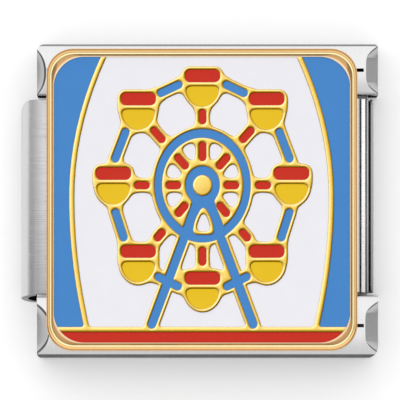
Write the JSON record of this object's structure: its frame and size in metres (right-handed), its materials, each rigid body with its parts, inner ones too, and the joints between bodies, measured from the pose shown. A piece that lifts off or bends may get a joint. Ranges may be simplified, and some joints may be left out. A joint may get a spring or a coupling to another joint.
{
  "type": "bracelet charm link",
  "caption": "Square stainless steel bracelet link with a sliding sprung hook, a catch lip and a gold rimmed enamel plaque showing a fairground wheel.",
  "frame": {"origin": "centre of the link's footprint, on its back", "axes": "+Z out of the picture face, +Y to the top of the picture, +X to the right, from the hook to the catch"},
  "size_m": [0.0102, 0.009, 0.0028],
  "materials": {
    "polished_steel": "polished stainless steel",
    "spring_steel": "plain spring steel strip",
    "rose_gold_plate": "polished pale rose gold plate",
    "yellow_gold_plate": "polished yellow gold plate",
    "white_enamel": "glossy enamel",
    "blue_enamel": "glossy enamel",
    "red_enamel": "glossy enamel",
    "yellow_enamel": "glossy enamel"
  },
  "bodies": {
    "link": {"a_frame": "blue_enamel", "back_plate": "polished_steel", "blue_panel_left": "blue_enamel", "blue_panel_right": "blue_enamel", "brace_lines": "yellow_gold_plate", "gold_lines": "yellow_gold_plate", "hub_disc": "yellow_gold_plate", "inner_spoke_lower_left": "red_enamel", "inner_spoke_lower_right": "red_enamel", "inner_spoke_middle_left": "red_enamel", "inner_spoke_middle_right": "red_enamel", "inner_spoke_top": "red_enamel", "inner_spoke_upper_left": "red_enamel", "inner_spoke_upper_right": "red_enamel", "link_body": "polished_steel", "outer_spoke_bottom": "red_enamel", "outer_spoke_lower_left": "red_enamel", "outer_spoke_lower_right": "red_enamel", "outer_spoke_middle_left": "red_enamel", "outer_spoke_middle_right": "red_enamel", "outer_spoke_top": "red_enamel", "outer_spoke_upper_left": "red_enamel", "outer_spoke_upper_right": "red_enamel", "plaque_tray": "rose_gold_plate", "red_ground": "red_enamel", "rim_stroke_lower_left": "blue_enamel", "rim_stroke_lower_right": "blue_enamel", "rim_stroke_middle_left": "blue_enamel", "rim_stroke_middle_right": "blue_enamel", "rim_stroke_upper_left": "blue_enamel", "rim_stroke_upper_right": "blue_enamel", "roof_bottom": "red_enamel", "roof_lower_left": "red_enamel", "roof_lower_right": "red_enamel", "roof_middle_left": "red_enamel", "roof_middle_right": "red_enamel", "roof_top": "red_enamel", "roof_upper_left": "red_enamel", "roof_upper_right": "red_enamel", "spring_leaf": "spring_steel", "stop_bar": "polished_steel", "tub_bottom": "yellow_enamel", "tub_lower_left": "yellow_enamel", "tub_lower_right": "yellow_enamel", "tub_middle_left": "yellow_enamel", "tub_middle_right": "yellow_enamel", "tub_top": "yellow_enamel", "tub_upper_left": "yellow_enamel", "tub_upper_right": "yellow_enamel", "wheel_inner_lines": "yellow_gold_plate", "white_field": "white_enamel"},
    "hook": {"sliding_hook": "polished_steel"}
  },
  "joints": [
    {"name": "hook_slide", "type": "slide", "parent": "link", "child": "hook", "axis": [-1, 0, 0], "range_m": [0, 0.002], "stiffness_N_per_m": 25}
  ]
}
